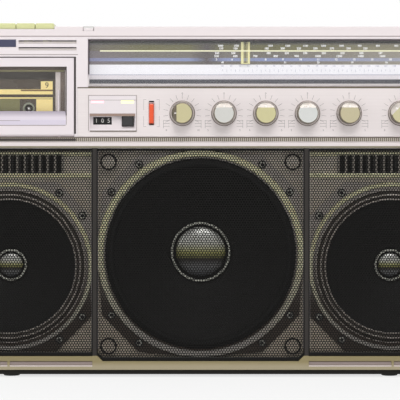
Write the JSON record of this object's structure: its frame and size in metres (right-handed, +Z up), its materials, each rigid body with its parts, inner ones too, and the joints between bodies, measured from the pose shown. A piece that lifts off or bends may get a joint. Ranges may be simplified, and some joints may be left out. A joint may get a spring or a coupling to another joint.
{
  "type": "radio cassette player",
  "caption": "Portable stereo radio cassette player with a centre woofer, side speakers with horn tweeters, dial, knobs, piano keys, folding handle and telescopic aerial.",
  "frame": {"origin": "centre of the footprint, on the surface that the feet stand on", "axes": "+X along the width, to the right as seen from the front; +Y from front to back; +Z up"},
  "size_m": [0.582, 0.166, 0.354],
  "materials": {
    "silver_plastic": "satin silver paint",
    "charcoal_plastic": "fine grained",
    "baffle_plastic": "semi-gloss",
    "grille_metal": "satin black, perforated",
    "basket_steel": "satin",
    "cone_paper": "pressed paper",
    "ring_metal": "turned, bright",
    "screw_steel": "zinc plated",
    "panel_metal": "fine brushed, anodised",
    "trim_metal": "polished",
    "board": "phenolic board and parts",
    "lamp_lens": "translucent",
    "counter_plastic": "black with white figures",
    "black_gloss": "gloss",
    "orange_plastic": "gloss",
    "clear_plastic": "clear",
    "dial_print": "printed scale",
    "pointer_cream": "satin",
    "knob_metal": "spun face",
    "cassette_shell": "printed label on a moulded shell",
    "deck_steel": "zinc plated",
    "spindle_plastic": "satin",
    "flywheel_brass": "turned",
    "key_plastic": "satin",
    "chrome_plate": "polished",
    "handle_metal": "satin anodised",
    "grip_plastic": "fine grained",
    "transformer_steel": "laminated",
    "foot_rubber": "matt"
  },
  "bodies": {
    "case": {"front_cabinet": "silver_plastic", "rear_cabinet": "charcoal_plastic", "top_cover": "silver_plastic", "speaker_baffle": "baffle_plastic", "grille_centre": "grille_metal", "grille_left": "grille_metal", "grille_right": "grille_metal", "woofer_frame_centre": "basket_steel", "woofer_cone_centre": "cone_paper", "speaker_rings": "ring_metal", "speaker_screws": "screw_steel", "side_woofer_frames": "basket_steel", "side_woofer_cones": "cone_paper", "tweeters": "charcoal_plastic", "tweeter_bars": "ring_metal", "control_panel": "panel_metal", "trim_strip": "trim_metal", "control_board": "board", "counter_bezel": "silver_plastic", "indicator_lamps": "lamp_lens", "tape_counter": "counter_plastic", "dial_window": "clear_plastic", "dial_plate": "dial_print", "deck_chassis": "deck_steel", "handle_pivots": "chrome_plate", "aerial_mount": "charcoal_plastic", "battery_tray": "charcoal_plastic", "rear_sockets": "black_gloss", "mains_transformer": "transformer_steel", "feet": "foot_rubber"},
    "volume_knob": {"volume_knob": "knob_metal"},
    "bass_knob": {"bass_knob": "knob_metal"},
    "treble_knob": {"treble_knob": "knob_metal"},
    "balance_knob": {"balance_knob": "knob_metal"},
    "stereo_knob": {"stereo_knob": "knob_metal"},
    "band_knob": {"band_knob": "knob_metal"},
    "tuning_knob": {"tuning_knob": "knob_metal"},
    "dial_pointer": {"dial_pointer": "pointer_cream"},
    "counter_reset": {"counter_reset": "black_gloss"},
    "power_button": {"power_button": "chrome_plate"},
    "tape_selector": {"tape_selector": "orange_plastic"},
    "cassette_door": {"cassette_door": "silver_plastic", "door_window": "clear_plastic", "cassette": "cassette_shell"},
    "supply_spindle": {"supply_spindle": "spindle_plastic"},
    "takeup_spindle": {"takeup_spindle": "spindle_plastic"},
    "flywheel": {"flywheel": "flywheel_brass"},
    "handle": {"handle_arms": "handle_metal", "handle_grip": "grip_plastic"},
    "aerial_tube_1": {"aerial_tube_1": "chrome_plate"},
    "aerial_tube_2": {"aerial_tube_2": "chrome_plate"},
    "aerial_tube_3": {"aerial_tube_3": "chrome_plate"},
    "aerial_tip": {"aerial_tip": "chrome_plate"},
    "battery_door": {"battery_door": "charcoal_plastic"},
    "key_record": {"key_record": "key_plastic"},
    "key_play": {"key_play": "key_plastic"},
    "key_rewind": {"key_rewind": "key_plastic"},
    "key_wind": {"key_wind": "key_plastic"},
    "key_stop_eject": {"key_stop_eject": "key_plastic"},
    "key_pause": {"key_pause": "key_plastic"}
  },
  "joints": [
    {"name": "volume_turn", "type": "hinge", "parent": "case", "child": "volume_knob", "pos_m": [-0.0183, -0.067, 0.2637], "axis": [0, 1, 0], "range_deg": [-60, 240]},
    {"name": "bass_turn", "type": "hinge", "parent": "case", "child": "bass_knob", "pos_m": [0.0234, -0.067, 0.2637], "axis": [0, 1, 0], "range_deg": [-150, 150]},
    {"name": "treble_turn", "type": "hinge", "parent": "case", "child": "treble_knob", "pos_m": [0.0651, -0.067, 0.2637], "axis": [0, 1, 0], "range_deg": [-150, 150]},
    {"name": "balance_turn", "type": "hinge", "parent": "case", "child": "balance_knob", "pos_m": [0.1068, -0.067, 0.2637], "axis": [0, 1, 0], "range_deg": [-150, 150]},
    {"name": "stereo_turn", "type": "hinge", "parent": "case", "child": "stereo_knob", "pos_m": [0.1485, -0.067, 0.2637], "axis": [0, 1, 0], "range_deg": [-150, 150]},
    {"name": "band_turn", "type": "hinge", "parent": "case", "child": "band_knob", "pos_m": [0.2, -0.067, 0.2637], "axis": [0, 1, 0], "range_deg": [0, 96]},
    {"name": "tuning_turn", "type": "hinge", "parent": "case", "child": "tuning_knob", "pos_m": [0.249, -0.067, 0.31425], "axis": [0, 1, 0], "range_deg": [-775, 862]},
    {"name": "pointer_slide", "type": "slide", "parent": "case", "child": "dial_pointer", "axis": [1, 0, 0], "range_m": [-0.145, 0.161]},
    {"name": "record_press", "type": "hinge", "parent": "case", "child": "key_record", "pos_m": [-0.2522, -0.021, 0.3353], "axis": [1, 0, 0], "range_deg": [0, 4.8], "stiffness_Nm_per_rad": 0.5, "springref_deg": -8.59},
    {"name": "play_press", "type": "hinge", "parent": "case", "child": "key_play", "pos_m": [-0.233, -0.021, 0.3353], "axis": [1, 0, 0], "range_deg": [0, 4.8], "stiffness_Nm_per_rad": 0.5, "springref_deg": -8.59},
    {"name": "rewind_press", "type": "hinge", "parent": "case", "child": "key_rewind", "pos_m": [-0.2138, -0.021, 0.3353], "axis": [1, 0, 0], "range_deg": [0, 4.8], "stiffness_Nm_per_rad": 0.5, "springref_deg": -8.59},
    {"name": "wind_press", "type": "hinge", "parent": "case", "child": "key_wind", "pos_m": [-0.1946, -0.021, 0.3353], "axis": [1, 0, 0], "range_deg": [0, 4.8], "stiffness_Nm_per_rad": 0.5, "springref_deg": -8.59},
    {"name": "stop_eject_press", "type": "hinge", "parent": "case", "child": "key_stop_eject", "pos_m": [-0.1754, -0.021, 0.3353], "axis": [1, 0, 0], "range_deg": [0, 4.8], "stiffness_Nm_per_rad": 0.5, "springref_deg": -8.59},
    {"name": "pause_press", "type": "hinge", "parent": "case", "child": "key_pause", "pos_m": [-0.1562, -0.021, 0.3353], "axis": [1, 0, 0], "range_deg": [0, 4.8], "stiffness_Nm_per_rad": 0.5, "springref_deg": -8.59},
    {"name": "reset_press", "type": "slide", "parent": "case", "child": "counter_reset", "axis": [0, 1, 0], "range_m": [0, 0.002], "stiffness_N_per_m": 200, "springref_m": -0.002},
    {"name": "power_press", "type": "slide", "parent": "case", "child": "power_button", "axis": [0, 0, -1], "range_m": [0, 0.0015], "stiffness_N_per_m": 250, "springref_m": -0.002},
    {"name": "selector_rock", "type": "hinge", "parent": "case", "child": "tape_selector", "pos_m": [-0.0491, -0.061, 0.264], "axis": [1, 0, 0], "range_deg": [-7, 7]},
    {"name": "door_swing", "type": "hinge", "parent": "case", "child": "cassette_door", "pos_m": [-0.19375, -0.064, 0.2434], "axis": [1, 0, 0], "range_deg": [0, 25]},
    {"name": "supply_spin", "type": "hinge", "parent": "case", "child": "supply_spindle", "pos_m": [-0.215, -0.041, 0.2686], "axis": [0, 1, 0], "continuous": true},
    {"name": "takeup_spin", "type": "hinge", "parent": "case", "child": "takeup_spindle", "pos_m": [-0.1725, -0.041, 0.2686], "axis": [0, 1, 0], "continuous": true},
    {"name": "flywheel_spin", "type": "hinge", "parent": "case", "child": "flywheel", "pos_m": [-0.17275, -0.041, 0.2426], "axis": [0, 1, 0], "continuous": true},
    {"name": "handle_fold", "type": "hinge", "parent": "case", "child": "handle", "pos_m": [0, -0.03, 0.29], "axis": [1, 0, 0], "range_deg": [0, 63]},
    {"name": "aerial_tilt", "type": "hinge", "parent": "case", "child": "aerial_tube_1", "pos_m": [-0.25, 0.075, 0.327], "axis": [0, -1, 0], "range_deg": [0, 90]},
    {"name": "aerial_draw_1", "type": "slide", "parent": "aerial_tube_1", "child": "aerial_tube_2", "axis": [1, 0, 0], "range_m": [0, 0.205]},
    {"name": "aerial_draw_2", "type": "slide", "parent": "aerial_tube_2", "child": "aerial_tube_3", "axis": [1, 0, 0], "range_m": [0, 0.205]},
    {"name": "aerial_draw_3", "type": "slide", "parent": "aerial_tube_3", "child": "aerial_tip", "axis": [1, 0, 0], "range_m": [0, 0.205]},
    {"name": "battery_door_swing", "type": "hinge", "parent": "case", "child": "battery_door", "pos_m": [0, 0.0805, 0.0217], "axis": [-1, 0, 0], "range_deg": [0, 95]}
  ],
  "couplings": [
    {"joint": "pointer_slide", "follows": "tuning_turn", "m_per_rad": 0.0106}
  ]
}
